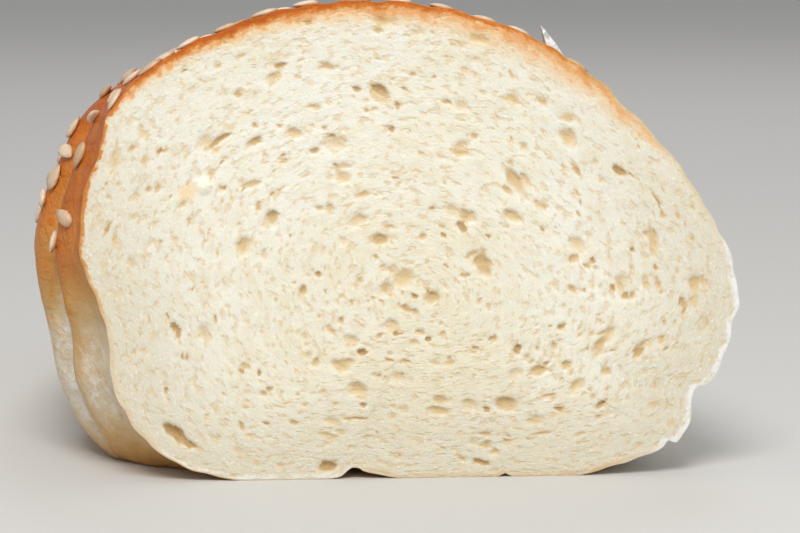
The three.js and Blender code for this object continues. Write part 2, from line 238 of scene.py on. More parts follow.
class RollShape:
    """The crust of the half roll: where each point lies at a length along and an angle round it."""

    # How far the knife's edge wanders from the outline of the cut, in millimetres.
    CUT_ROUGHNESS = 0.35

    # Lengths along the roll: how soon it leaves the cut's outline, turns, and gets its laps.
    EDGE_BLEND = 11.0
    HEADING_BLEND = 30.0
    LAP_FADE = 9.0
    FLANK_RISE = 20.0
    FLANK_FALL = (25.0, 75.0)
    BASE_FADE = 5.0

    # The closing tip: the powers of its taper, its flatness, and where it starts to lift.
    WIDTH_TAPER = (1.9, 0.62)
    HEIGHT_TAPER = (2.3, 0.55)
    TIP_FLATNESS = 0.33
    LIFT_START = 0.55

    # The swell of the left flank: the angle it faces, how narrow it is, and its share elsewhere.
    SWELL_ANGLE = math.radians(200)
    SWELL_FOCUS = 1.6
    SWELL_ALL_ROUND = 0.12

    # A lap, in shares of its pitch: how far it dips behind its edge, where the crust turns down
    # before the next edge and over what stretch, and where it drops. The last number of both is
    # the share of the depth.
    LAP_DIP = 0.4
    LAP_SHOULDER = (0.78, 0.22, 0.4)
    LAP_DROP = (0.93, 0.6)

    # Browning by lap: pale where the dough stretched, brown on the ridge before the edge.
    EDGE_WIDTH = 0.07
    PALE_EDGE = 0.42
    BROWN_RIDGE = (0.88, 0.14)
    BROWN_TIP = (0.55, 0.12)
    LAPS_SHOW_ALONG = (2.0, 12.0)
    LAPS_SHOW_ABOVE = (1.0, 9.0)
    DARKEST = 1.1

    def __init__(self, sizes):
        self.length = sizes.half_length / MM
        self.bend_radius = sizes.bend_radius / MM
        self.heading = sizes.first_heading
        self.tip_lift = sizes.tip_lift / MM
        self.flank_swell = sizes.flank_swell / MM
        self.lap_pitch = sizes.lap_pitch / MM
        self.lap_depth = sizes.lap_depth / MM
        self.swell = Outline(SWELL_OUTLINE)
        self.cut = Outline(CUT_OUTLINE, self.CUT_ROUGHNESS)
        self.lap_start = math.atan2(LAP_ON_CUT[1] - CORE[1], LAP_ON_CUT[0] - CORE[0])
        low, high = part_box(ROLL_NODE)
        self.foot = Vector((high[0] - self.swell.curve[:, 0].max() * MM, low[1], 0.0))

    def lap_place(self, along, angle):
        """The share of the way from one lap's edge to the next, from 0 to 1."""
        turns = along / self.lap_pitch - (angle - self.lap_start) / (2 * math.pi)
        return turns % 1.0

    def lap_groove(self, along, angle):
        """How far the crust is drawn in at a lap: gently after the edge, with a step before it."""
        place = self.lap_place(along, angle)
        turn, stretch, shoulder = self.LAP_SHOULDER
        drop, step = self.LAP_DROP
        after = np.maximum(1.0 - place / self.LAP_DIP, 0.0) ** 2
        before = shoulder * np.maximum((place - turn) / stretch, 0.0) ** 2
        return np.maximum(after, before + step * smoothstep(drop, 1.0, place))

    def section(self, along):
        """The middle of the cross-section at a length along the roll, and its turn."""
        bend = along / self.bend_radius
        lean = math.sin(self.heading) * along
        x = -self.bend_radius * (1.0 - np.cos(bend)) - lean
        y = self.bend_radius * np.sin(bend)
        return x, y, bend + self.heading * smoothstep(0.0, self.HEADING_BLEND, along)

    @staticmethod
    def taper(u, start, close):
        """How much of the section is left at a share of the length: it closes round at the tip."""
        return np.maximum(1.0 - u**start, 0.0) ** close

    def point(self, along, angle):
        """Points of the crust in millimetres from the foot of the cut, as rows of x, y and z."""
        u = along / self.length
        width = self.taper(u, *self.WIDTH_TAPER)
        height = (1.0 - self.TIP_FLATNESS * u) * self.taper(u, *self.HEIGHT_TAPER)
        at_cut = smoothstep(self.EDGE_BLEND, 0.0, along)
        flank = smoothstep(0.0, self.FLANK_RISE, along) * smoothstep(*self.FLANK_FALL[::-1], along)
        facing = np.maximum(np.cos(angle - self.SWELL_ANGLE), 0.0) ** self.SWELL_FOCUS
        facing += (1.0 - facing) * self.SWELL_ALL_ROUND
        swell = self.swell.radius(angle) + self.flank_swell * flank * facing
        radius = swell + (self.cut.radius(angle) - swell) * at_cut
        over_base = smoothstep(0.0, self.BASE_FADE, CORE[1] + radius * np.sin(angle))
        from_cut = smoothstep(0.0, self.LAP_FADE, along)
        groove = self.lap_groove(along, angle) * over_base * from_cut
        radius = radius - self.lap_depth * np.sqrt(width) * groove
        x = (CORE[0] + radius * np.cos(angle)) * width
        z = np.maximum((CORE[1] + radius * np.sin(angle)) * height, 0.0)
        lift = self.tip_lift * (np.maximum(u - self.LIFT_START, 0.0) / (1 - self.LIFT_START)) ** 2
        middle_x, middle_y, turn = self.section(along)
        place = [middle_x + x * np.cos(turn), middle_y + x * np.sin(turn), z + lift]
        return np.stack(place, axis=-1)

    def bake(self, along, angle):
        """Browning of the crust from 0 to 1: by side, by lap, and more on the thin tip."""
        place = self.lap_place(along, angle)
        foot = CORE[1] + self.swell.radius(angle) * np.sin(angle)
        shown = smoothstep(*self.LAPS_SHOW_ALONG, along) * smoothstep(*self.LAPS_SHOW_ABOVE, foot)
        ridge_place, ridge = self.BROWN_RIDGE
        tip_start, tip = self.BROWN_TIP
        laps = ridge * np.exp(-(((place - ridge_place) / self.EDGE_WIDTH) ** 2))
        laps -= self.PALE_EDGE * np.exp(-place / self.EDGE_WIDTH)
        browning = round_the_roll(BAKE_ROUND, angle) + laps * shown
        browning += tip * smoothstep(tip_start, 1.0, along / self.length)
        return np.clip(browning, 0.0, self.DARKEST)

    def lap_distance(self, along, angle):
        """Signed distance in millimetres to the nearest lap edge: positive on the lower lap."""
        place = self.lap_place(along, angle)
        return np.where(place < 0.5, place, place - 1.0) * self.lap_pitch


# ---- The crumb's open pores ----

# Where further pores lie on the cut: across, up, and as a share of the way to the rim.
PORES_ACROSS = (-35.0, 36.0)
PORES_UP = (0.8, 51.6)
PORES_REACH = 0.955

# How closely they gather in clumps, and how large the clumps are.
PORE_CHANCE = 0.62
CLUMPING = 0.9
CLUMP_SCALE = 0.09

# Their usual length, its spread and its limit, and the share and length of the long ones.
PORE_LENGTH = 0.6
PORE_SPREAD = 0.58
LONGEST_PORE = 2.8
LONG_PORE_SHARE = 0.06
LONG_PORE_LENGTH = (1.8, 3.4)

# Their width as a share of the length, less so far out and for the long ones, and its least.
PORE_SLIMNESS = (0.5, 0.95)
FLATTER_OUTSIDE = 0.26
LONG_FROM = 1.6
LONG_SLIMMER = 0.08
LEAST_WIDTH = 0.34
PORE_TILT_SPREAD = 0.3
BROWNEST = 0.85
BROWN_RARITY = 1.9

# How pores wander off a plain ellipse: by how much, at what scale, and the two noises' seeds.
PORE_WANDER = ((0.26, 0.9, 1.3, 7.9), (0.12, 2.4, 4.1, 9.2))

# Depth in millimetres: the least, what each millimetre of width adds, and the most. A pale pore has
# a share of a brown one's depth, the brown being painted shade. Under its upper edge a pore is
# deeper, and painted darker there as shade.
SHALLOWEST = 0.1
DEPTH_BY_WIDTH = 0.4
DEEPEST = 0.8
PALE_SHARE = 0.45
UNDERCUT = 0.8
UNDERCUT_SHADE = 0.7


def swirl_direction(shape, x, z):
    """The coil's tilt at a place on the cut, in radians, and its share of the way to the rim."""
    angle = math.atan2(z - CORE[1], x - CORE[0])
    here = math.hypot(x - CORE[0], z - CORE[1])
    step = 0.02
    before, after = (float(shape.swell.radius(angle + d)) for d in (-step, step))
    run = after * math.cos(angle + step) - before * math.cos(angle - step)
    rise = after * math.sin(angle + step) - before * math.sin(angle - step)
    return math.atan2(rise, run), here / float(shape.swell.radius(angle))


def scattered_pores(shape, count, seed):
    """Further pores, drawn out along the coil: small and round near the core, flatter outside."""
    draw = random.Random(seed)
    pores = []
    while len(pores) < count:
        x, z = draw.uniform(*PORES_ACROSS), draw.uniform(*PORES_UP)
        tilt, share = swirl_direction(shape, x, z)
        clump = noise.noise(Vector((x * CLUMP_SCALE, 3.7, z * CLUMP_SCALE)))
        if share > PORES_REACH or draw.random() > PORE_CHANCE + CLUMPING * clump:
            continue
        length = min(PORE_LENGTH * math.exp(abs(draw.gauss(0.0, PORE_SPREAD))), LONGEST_PORE)
        if draw.random() < LONG_PORE_SHARE:
            length = draw.uniform(*LONG_PORE_LENGTH)
        slim = draw.uniform(*PORE_SLIMNESS) - FLATTER_OUTSIDE * share
        slim -= LONG_SLIMMER * (length > LONG_FROM)
        width = max(length * slim, LEAST_WIDTH)
        tilt += draw.gauss(0.0, PORE_TILT_SPREAD)
        browning = BROWNEST * draw.random() ** BROWN_RARITY
        pores.append((x, z, length, width, math.degrees(tilt), browning))
    return pores


def press_pores(places, pores, shown):
    """Depth of the pores in millimetres at each place of the cut, how far it lies inside a pore
    from 0 to 1, which sets the pore's painted shade, and how brown that shade is. A pore is a bowl,
    deepest under its upper edge."""
    warped = places.copy()
    for reach, scale, *seeds in PORE_WANDER:
        warped += reach * np.stack([ripple(places, seed, scale) for seed in seeds], axis=1)
    depth = np.zeros(len(places))
    inside = np.zeros(len(places))
    brown = np.zeros(len(places))
    for x, z, length, width, tilt, browning in pores:
        near = np.flatnonzero(np.abs(places - (x, z)).max(axis=1) < 0.9 * length + 0.8)
        offset = warped[near] - (x, z)
        turn = math.radians(tilt)
        u = (offset[:, 0] * math.cos(turn) + offset[:, 1] * math.sin(turn)) / (length / 2)
        v = (offset[:, 1] * math.cos(turn) - offset[:, 0] * math.sin(turn)) / (width / 2)
        bowl = np.maximum(1.0 - u * u - v * v, 0.0)
        upward = np.clip(offset[:, 1] / width, -0.5, 0.5)
        strength = PALE_SHARE + (1.0 - PALE_SHARE) * browning
        deepest = min(SHALLOWEST + DEPTH_BY_WIDTH * width, DEEPEST) * strength * shown
        hollow = deepest * bowl**0.8 * (1.0 + UNDERCUT * upward)
        depth[near] = np.maximum(depth[near], hollow)
        # The pore's painted shade: strongest inside, and darker under its upper edge.
        share = bowl**0.6 * strength * (1.0 + UNDERCUT_SHADE * upward)
        brown[near] = np.where(share > inside[near], browning, brown[near])
        inside[near] = np.maximum(inside[near], share)
    return depth, inside, brown


def spot_mask(places, x, z, radius):
    """1 at a place on the cut, falling to 0 at about the radius from it, with an uneven edge."""
    gap = np.hypot(*(places - (x, z)).T) + radius * 0.35 * ripple(places, 5.5, 1.1)
    return smoothstep(radius * 1.1, radius * 0.7, gap)


# ---- Material nodes ----


class Value:
    """A shader socket. Sums with it add Math nodes to its material."""

    def __init__(self, shader, socket):
        self.shader = shader
        self.socket = socket

    def math(self, operation, *values, clamp=False):
        settings = {"operation": operation, "use_clamp": clamp}
        return self.shader.node("ShaderNodeMath", settings, values)

    def __add__(self, other):
        return self.math("ADD", self, other)

    def __radd__(self, other):
        return self.math("ADD", other, self)

    def __sub__(self, other):
        return self.math("SUBTRACT", self, other)

    def __rsub__(self, other):
        return self.math("SUBTRACT", other, self)

    def __mul__(self, other):
        return self.math("MULTIPLY", self, other)

    def __rmul__(self, other):
        return self.math("MULTIPLY", other, self)

    def __truediv__(self, other):
        return self.math("DIVIDE", self, other)

    def __pow__(self, other):
        return self.math("POWER", self, other)

    def clamp(self):
        return self.math("ADD", self, 0.0, clamp=True)


class Shader:
    """One material and the nodes in it."""

    def __init__(self, name):
        self.material = bpy.data.materials.new(name)
        self.material.use_nodes = True
        self.tree = self.material.node_tree
        self.tree.nodes.clear()

    def node(self, kind, settings=None, inputs=(), output=0):
        """Adds a node: its settings first, then the values or links of its sockets."""
        node = self.tree.nodes.new(kind)
        for name, setting in (settings or {}).items():
            if name == "stops":
                self.set_stops(node.color_ramp, setting)
            else:
                setattr(node, name, setting)
        given = inputs.items() if isinstance(inputs, dict) else enumerate(inputs)
        for key, value in given:
            socket = node.inputs[key]
            if isinstance(value, Value):
                self.tree.links.new(value.socket, socket)
            elif socket.type == "RGBA":
                socket.default_value = (*value[:3], 1.0)
            else:
                socket.default_value = value
        return Value(self, node.outputs[output])

    @staticmethod
    def set_stops(ramp, stops):
        while len(ramp.elements) < len(stops):
            ramp.elements.new(1.0)
        for element, (place, colour) in zip(ramp.elements, stops):
            element.position = place
            element.color = (*colour, 1.0)

    def place(self):
        """The place on the piece, in millimetres."""
        place = self.node("ShaderNodeTexCoord", output="Object")
        values = {0: place, "Scale": 1 / MM}
        return self.node("ShaderNodeVectorMath", {"operation": "SCALE"}, values)

    def attribute(self, name):
        return self.node("ShaderNodeAttribute", {"attribute_name": name}, output="Fac")

    def noise(self, vector, scale, detail=3.0, roughness=0.55, distortion=0.0):
        """Noise of about scale features per millimetre, from 0 to 1."""
        settings = {"noise_dimensions": "3D"}
        sockets = {"Vector": vector, "Scale": scale, "Detail": detail, "Roughness": roughness}
        sockets["Distortion"] = distortion
        return self.node("ShaderNodeTexNoise", settings, sockets, "Fac")

    def step(self, low, high, value):
        """0 at low, 1 at high, smooth between them."""
        settings = {"interpolation_type": "SMOOTHSTEP"}
        if low <= high:
            return self.node("ShaderNodeMapRange", settings, {0: value, 1: low, 2: high})
        values = {0: value, 1: high, 2: low, 3: 1.0, 4: 0.0}
        return self.node("ShaderNodeMapRange", settings, values)

    def mix(self, share, first, second):
        """A colour between two colours."""
        settings = {"data_type": "RGBA", "clamp_factor": True}
        return self.node("ShaderNodeMix", settings, {0: share, 6: first, 7: second}, 2)

    def lay(self, colour, *coats):
        """A colour with others laid over it in turn, each given as its share and its colour."""
        for share, coat in coats:
            colour = self.mix(share, colour, coat)
        return colour

    def ramp(self, value, stops):
        return self.node("ShaderNodeValToRGB", {"stops": stops}, {0: value})

    def spots(self, vector, scale, smallest, largest, share):
        """Masks of round spots in some cells of a random pattern: the spot and its rim."""
        settings = {"voronoi_dimensions": "3D", "feature": "F1"}
        sockets = {"Vector": vector, "Scale": scale, "Randomness": 1.0}
        distance = self.node("ShaderNodeTexVoronoi", settings, sockets, "Distance")
        cell = self.node("ShaderNodeTexVoronoi", settings, sockets, "Color")
        draw = self.node("ShaderNodeSeparateXYZ", inputs=[cell], output="X")
        kept = self.step(1.0 - share, 1.0 - share + 0.05, draw)
        size = smallest + (largest - smallest) * draw ** 3.0
        sockets = {0: distance, 1: size * 0.55, 2: size, 3: 1.0, 4: 0.0}
        return kept * self.node("ShaderNodeMapRange", {"interpolation_type": "SMOOTHSTEP"}, sockets)

    def bump(self, height, distance):
        sockets = {"Strength": 1.0, "Distance": distance, "Height": height}
        return self.node("ShaderNodeBump", {}, sockets, "Normal")

    def finish(self, sockets):
        """The Principled shader with its sockets set, led to the output."""
        surface = self.node("ShaderNodeBsdfPrincipled", {}, sockets, "BSDF")
        output = self.tree.nodes.new("ShaderNodeOutputMaterial")
        self.tree.links.new(surface.socket, output.inputs["Surface"])
        return self.material


def under_skin(weight, radius, scale):
    """How light spreads below a surface: how much, how far in each colour, and over what depth."""
    return {"Subsurface Weight": weight, "Subsurface Radius": radius, "Subsurface Scale": scale}


def crumb_material(look):
    """The cut crumb: cream bread with tan pores along the coil, stained orange below the crust. The
    pores' tan, the crumb's darker low part and its dark specks are painted shade, and its bright
    specks painted highlights.
    """
    shader = Shader("crumb")
    place = shader.place()
    x = shader.node("ShaderNodeSeparateXYZ", inputs=[place], output="X")
    z = shader.node("ShaderNodeSeparateXYZ", inputs=[place], output="Z")
    layer = shader.attribute("layer")
    rim = shader.attribute("rim")
    bake = shader.attribute("bake")
    pore = shader.attribute("pore")
    brown = shader.attribute("pore_brown")

    # Both follow the coil: the first is fine across its layers, the second is drawn out along them.
    coil = shader.node("ShaderNodeCombineXYZ", inputs=[x, layer * 1.2, z])
    streak = shader.node("ShaderNodeCombineXYZ", inputs=[x * 0.3, layer * 1.5, z * 0.3])
    broad = shader.noise(place, 0.07, 2.0)
    mottle = shader.noise(coil, 0.42, 4.0, 0.62)
    blotch = shader.noise(coil, 0.95, 2.0, 0.5)
    lines = shader.noise(streak, 0.62, 4.0, 0.6)
    speck = shader.noise(coil, 2.6, 2.0, 0.5)
    fibre = shader.noise(coil, 6.5, 3.0, 0.65)

    # The bread: creamier at the core, deeper in its streaks and by the crust, and darker low down
    # as painted shade.
    # The terms in z make the crumb creamier and deeper low down: painted shade, not the crumb's
    # colour.
    core = shader.step(LAYER_SPAN, LAYER_SPAN * 0.2, layer) * 0.45 + shader.step(32.0, 6.0, z) * 0.3
    outer_and_low_shade = shader.step(15.0, 0.0, rim) * (0.45 + shader.step(44.0, 22.0, z) * 0.55)
    soft_pores = shader.step(0.51, 0.7, blotch)

    # The stain: its depth below the crust, broken up by the crumb's own pattern.
    gap = rim - shader.attribute("band")
    stain = shader.attribute("stain")
    reach = (gap + (mottle - 0.5) * 2.4 + (blotch - 0.5) * 1.6) / stain
    stained = shader.step(0.2, 1.2, stain)
    grainy = (shader.step(0.35, 0.62, speck) * 0.45 + 0.55) * stained
    near = reach + (speck - 0.5) * 0.8 + (blotch - 0.5) * 0.5
    baked = shader.step(0.12, 0.55, bake)
    toasted = shader.step(0.5, 0.0, near) * baked * stained

    # The crust where the knife went through it, ragged inwards and floured where it is pale.
    ragged = gap + (speck - 0.5) * 0.6 + (blotch - 0.5) * 1.1 + (mottle - 0.5) * 0.7
    skin = shader.step(0.16, -0.14, ragged)
    crust = crust_colour(shader, look, bake - shader.step(-0.55, 0.0, ragged) * baked * 0.25)
    dusty = shader.step(0.12, 0.03, bake) * shader.step(0.38, 0.55, mottle) * 0.9

    # Pore openings turn tan to brown: painted shade in their hollows, darkest in brown pores and
    # under the upper edge.
    opening = shader.step(0.04, 0.7, pore + (blotch - 0.5) * 0.3 * shader.step(0.0, 0.2, pore))
    hollow = shader.mix(shader.step(0.3, 1.0, brown) * opening, look.pore_shade_tan, look.pore_brown)

    colour = shader.lay(
        look.crumb_light,
        (core + (broad - 0.5) * 1.4 + 0.05, look.crumb_cream),
        (shader.step(0.45, 0.75, mottle) * 0.5, look.crumb_deep),
        (shader.step(0.5, 0.78, lines) * 0.5, look.crumb_deep),
        (outer_and_low_shade * 0.68, look.crumb_outer_and_shade),
        # Small pores painted as soft tan patches: painted shade.
        (soft_pores * 0.5, look.pore_shade_tan),
        (shader.step(0.6, 0.82, speck) * 0.3, look.crumb_shade),
        # Bright specks where the fine noise is low: painted highlights on the crumb's thin walls.
        (shader.step(0.45, 0.25, speck) * 0.6, look.crumb_painted_glint),
        (shader.attribute("egg_spot") * 0.75, look.egg),
        (shader.attribute("flake") * 0.9, look.flake),
        (shader.step(1.05, 0.15, reach) * grainy * 0.85, look.under_crust),
        (toasted * 0.75, look.under_crust_deep),
        (skin * 0.96, shader.mix(dusty, crust, look.flour)),
        # Pore openings: painted shade.
        (opening * 0.84, hollow),
    )
    height = (fibre - 0.5) * 0.14 + (speck - 0.5) * 0.35 + (mottle - 0.5) * 0.8 - soft_pores * 0.3
    return shader.finish({
        "Base Color": colour,
        "Roughness": 0.8 - 0.15 * opening - 0.2 * skin,
        "Specular IOR Level": 0.2,
        "Normal": shader.bump(height, 0.2 * MM),
        **under_skin(0.3, (1.0, 0.68, 0.4), 1.2 * MM),
    })


def crust_colour(shader, look, bake):
    """Colour of the crust by how well it is baked."""
    return shader.ramp(bake, [
        (0.0, look.crust_flour), (0.2, look.crust_pale), (0.42, look.crust_tan),
        (0.64, look.crust_gold), (0.86, look.crust_orange), (1.0, look.crust_brown),
    ])


def crust_material(look):
    """The baked crust: glazed and browned on top, pale on the flanks, dry and dusty underneath."""
    shader = Shader("crust")
    place = shader.place()
    bake = shader.attribute("bake")
    lap = shader.attribute("lap")
    cloud = shader.noise(place, 0.09, 4.0, 0.6)
    blister = shader.noise(place, 0.5, 4.0, 0.6, 0.4)
    grain = shader.noise(place, 2.4, 4.0, 0.65)
    freckles = shader.spots(place, 0.55, 0.1, 0.4, 0.35)
    settings = {"voronoi_dimensions": "3D", "feature": "DISTANCE_TO_EDGE"}
    sockets = {"Vector": place, "Scale": 0.42}
    cells = shader.node("ShaderNodeTexVoronoi", settings, sockets, "Distance")
    crackle = shader.step(0.12, 0.0, cells)

    # Darker along each lap's edge: painted shade in the crease, besides its bump.
    crease = shader.step(0.75, 0.0, lap.math("ABSOLUTE", lap)) * shader.step(0.02, 0.2, bake)
    tone = bake + (cloud - 0.5) * 0.42 + (blister - 0.5) * 0.3 + (grain - 0.5) * 0.12
    dark = shader.step(0.62, 0.8, blister) * shader.step(0.55, 0.95, bake)
    specks = shader.step(0.45, 0.62, shader.noise(place, 0.8, 5.0, 0.7))
    dust = specks * shader.step(0.3, 0.08, bake)
    colour = shader.lay(
        crust_colour(shader, look, (tone + freckles * 0.1).clamp()),
        (dark * 0.45, look.crust_dark),
        (dust * 0.6, look.flour),
        # The creases' painted shade.
        (crease * 0.35, look.crust_brown),
    )

    glaze = shader.step(0.35, 0.85, bake)
    height = (blister - 0.5) * 1.1 + (grain - 0.5) * 0.4 - crackle * 0.12 * glaze - crease * 0.5
    return shader.finish({
        "Base Color": colour,
        "Roughness": 0.78 - 0.3 * glaze + (grain - 0.5) * 0.25,
        "Specular IOR Level": 0.28,
        "Coat Weight": glaze * 0.14,
        "Coat Roughness": 0.2,
        "Normal": shader.bump(height, 0.5 * MM),
        **under_skin(0.08, (1.0, 0.5, 0.2), 1.0 * MM),
    })


def seed_material(look):
    """Hulled sesame: ivory, a little toasted, tan at the pointed end."""
    shader = Shader("sesame_seeds")
    place = shader.place()
    toast = shader.attribute("toast")
    tip = shader.attribute("tip")
    skin = shader.noise(place, 2.2, 4.0, 0.6)
    fine = shader.noise(place, 9.0, 3.0, 0.6)
    colour = shader.lay(
        look.seed_ivory,
        (toast * 0.85 + (skin - 0.5) * 0.7, look.seed_toasted),
        (shader.step(0.68, 1.0, tip) * 0.6, look.seed_tip),
        (shader.step(0.25, 0.0, tip) * 0.3, look.seed_tip),
    )
    return shader.finish({
        "Base Color": colour,
        "Roughness": 0.27 + (skin - 0.5) * 0.3,
        "Specular IOR Level": 0.6,
        "Normal": shader.bump(skin * 0.6 + fine * 0.25, 0.12 * MM),
        **under_skin(0.2, (1.0, 0.7, 0.4), 0.6 * MM),
    })


def salt_material(look):
    """A coarse grain of salt: clouded, faintly grey, and shiny on its faces."""
    shader = Shader("salt")
    place = shader.place()
    cloud = shader.noise(place, 1.1, 4.0, 0.6)
    fine = shader.noise(place, 5.0, 3.0, 0.6)
    return shader.finish({
        "Base Color": shader.mix(shader.step(0.42, 0.62, cloud), look.salt_clear, look.salt_cloud),
        "Roughness": 0.1 + cloud * 0.2,
        "IOR": 1.54,
        "Transmission Weight": 0.2,
        "Normal": shader.bump(fine + cloud, 0.1 * MM),
        **under_skin(0.3, (1.0, 1.0, 1.0), 1.0 * MM),
    })


def table_material(look):
    """A plain matte table top."""
    shader = Shader("floor")
    return shader.finish({"Base Color": look.floor, "Roughness": 0.8, "Specular IOR Level": 0.2})


# ---- Modelling helpers ----


def deselect_all():
    if bpy.context.mode != "OBJECT":
        bpy.ops.object.mode_set(mode="OBJECT")
    bpy.ops.object.select_all(action="DESELECT")


def make_active(piece):
    deselect_all()
    piece.select_set(True)
    bpy.context.view_layer.objects.active = piece


def new_piece(name, add, **sizes):
    """Runs the operator that adds a primitive, and returns it under its name."""
    deselect_all()
    add(**sizes)
    piece = bpy.context.active_object
    piece.name = name
    piece.data.name = name
    return piece


def select_vertices(piece, chosen):
    """Enters edit mode with only the chosen vertices selected."""
    make_active(piece)
    bpy.ops.object.mode_set(mode="EDIT")
    bpy.ops.mesh.select_mode(type="VERT")
    bpy.ops.mesh.select_all(action="DESELECT")
    bpy.ops.object.mode_set(mode="OBJECT")
    piece.data.vertices.foreach_set("select", chosen)
    bpy.ops.object.mode_set(mode="EDIT")


def copy_node(node, name):
    """A copy of a CAD node under a new name, active, with its loose triangles merged."""
    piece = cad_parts[node].copy()
    piece.data = piece.data.copy()
    piece.name = name
    bpy.context.collection.objects.link(piece)
    make_active(piece)
    bpy.ops.object.mode_set(mode="EDIT")
    bpy.ops.mesh.select_all(action="SELECT")
    bpy.ops.mesh.remove_doubles(threshold=MERGE_DISTANCE)
    bpy.ops.object.mode_set(mode="OBJECT")
    return piece


def dress(piece, *materials):
    """Gives a piece its materials, in place of those it has."""
    piece.data.materials.clear()
    for material in materials:
        piece.data.materials.append(material)


def vertex_places(mesh):
    flat = np.empty(len(mesh.vertices) * 3)
    mesh.vertices.foreach_get("co", flat)
    return flat.reshape(-1, 3)


def set_vertex_places(mesh, places):
    mesh.vertices.foreach_set("co", np.ascontiguousarray(places, dtype=np.float32).ravel())
    mesh.update()


def set_attribute(mesh, name, values):
    layer = mesh.attributes.new(name, "FLOAT", "POINT")
    layer.data.foreach_set("value", np.ascontiguousarray(values, dtype=np.float32))


def apply_modifier(piece, kind, name, **settings):
    modifier = piece.modifiers.new(name, kind)
    for key, setting in settings.items():
        setattr(modifier, key, setting)
    make_active(piece)
    bpy.ops.object.modifier_apply(modifier=name)


def displace(piece, name, group, feature, height):
    """Swells and sinks a surface by soft clouds of a feature size and height in millimetres, where
    a vertex group allows."""
    texture = bpy.data.textures.new(name, "CLOUDS")
    texture.noise_scale = feature * MM
    texture.noise_depth = 2
    settings = {"texture": texture, "texture_coords": "LOCAL", "vertex_group": group}
    apply_modifier(piece, "DISPLACE", name, strength=height * MM, mid_level=0.5, **settings)
    bpy.data.textures.remove(texture)


def settle(piece, slot, *nodes):
    """Fixes a finished piece to the frame."""
    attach(piece, "root")
    if nodes:
        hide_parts(*nodes)


# ---- The roll ----

COLUMNS = 440
CRUMB_RINGS = 124
CRUST_RINGS = 98
CROWDED_RIM = 0.9
LAYER_SPAN = 34.0
FLAKE_HEIGHT = 0.3
WEIGHT_LEVELS = 20

# What swells and sinks: its name, its part, and its feature size and height in millimetres.
SWELLINGS = (
    ("swelling", "crust", 12.0, 1.1),
    ("blisters", "crust", 3.5, 0.4),
    ("torn_crumb", "crumb", 1.8, 0.17),
)


def sphere_grid(mesh, columns, rings):
    """Each vertex's ring, counted from the lower pole, and its column, by its place on the ball."""
    places = vertex_places(mesh)
    ring = np.rint((np.arcsin(np.clip(places[:, 2], -1, 1)) / math.pi + 0.5) * rings).astype(int)
    turn = np.arctan2(places[:, 1], places[:, 0]) / (2 * math.pi)
    return ring, (-np.rint(turn * columns).astype(int)) % columns


def model_roll(sizes, crumb):
    """Shapes a ball into the half roll: its lower cap becomes the cut face, the rest the crust."""
    shape = RollShape(sizes)
    rings = CRUMB_RINGS + CRUST_RINGS
    add = bpy.ops.mesh.primitive_uv_sphere_add
    roll = new_piece("crescent_roll", add, segments=COLUMNS, ring_count=rings, radius=1.0)
    mesh = roll.data
    ring, column = sphere_grid(mesh, COLUMNS, rings)
    angle = shape.cut.even_angles(COLUMNS)[column]
    on_crumb = ring < CRUMB_RINGS
    on_crust = ~on_crumb

    share = np.minimum(ring / CRUMB_RINGS, 1.0) ** CROWDED_RIM
    rim_radius = shape.cut.radius(angle)
    offset = np.stack([np.cos(angle), np.sin(angle)], axis=1) * (share * rim_radius)[:, None]
    face = CORE + offset
    t = np.clip((ring - CRUMB_RINGS) / CRUST_RINGS, 0.0, 1.0)
    along = shape.length * (0.6 * t + 0.4 * np.sin(t * math.pi / 2))

    # The pores and the flake stand off the plane of the cut, and nothing does at its very rim.
    pores = NOTED_PORES + scattered_pores(shape, crumb.pore_count, crumb.pore_seed)
    depth, inside, brown = press_pores(face[on_crumb], pores, crumb.pore_depth)
    relief = depth - FLAKE_HEIGHT * spot_mask(face[on_crumb], *FLAKE)
    off_rim = (1.0 - share) * rim_radius
    places = np.zeros((len(ring), 3))
    places[on_crust] = shape.point(along[on_crust], angle[on_crust])
    places[on_crumb, 0] = face[on_crumb, 0]
    places[on_crumb, 1] = relief * smoothstep(0.0, 0.5, off_rim[on_crumb])
    places[on_crumb, 2] = face[on_crumb, 1]
    set_vertex_places(mesh, places * MM + np.array(shape.foot))

    kept_on_cut = np.where(on_crumb, round_the_roll(CUT_BAKE_ROUND, angle), 1.0)
    readings = {
        "pore": spread_over(on_crumb, inside),
        "pore_brown": spread_over(on_crumb, brown),
        "layer": share * LAYER_SPAN,
        "rim": rim_gap(shape, angle, share),
        "bake": shape.bake(along, angle) * kept_on_cut,
        "stain": round_the_roll(STAIN_ROUND, angle),
        "band": round_the_roll(BAND_ROUND, angle),
        "egg_spot": on_crumb * spot_mask(face, *EGG_SPOT),
        "flake": on_crumb * spot_mask(face, *FLAKE),
        "lap": shape.lap_distance(along, angle),
    }
    for name, values in readings.items():
        set_attribute(mesh, name, values)

    weight_group(roll, "crust", smoothstep(0.4, 4.0, along) * on_crust)
    weight_group(roll, "crumb", smoothstep(0.2, 1.2, off_rim) * on_crumb)
    for name, group, feature, height in SWELLINGS:
        displace(roll, name, group, feature, height)
    places = vertex_places(mesh)
    places[:, 2] = np.maximum(places[:, 2], 0.0)
    set_vertex_places(mesh, places)
    look = bpy.context.scene.crescent_look
    dress(roll, crumb_material(look), crust_material(look))
    part_crumb_from_crust(roll, ring)
    return roll


def spread_over(chosen, values):
    """The values at the chosen vertices, and 0 at the others."""
    field = np.zeros(len(chosen))
    field[chosen] = values
    return field


def rim_gap(shape, angle, share):
    """Distance from a place on the cut to its outline, in millimetres."""
    step = 0.01
    radius = shape.cut.radius(angle)
    slope = (shape.swell.radius(angle + step) - shape.swell.radius(angle - step)) / (2 * step)
    return (1.0 - share) * radius * radius / np.hypot(radius, slope)


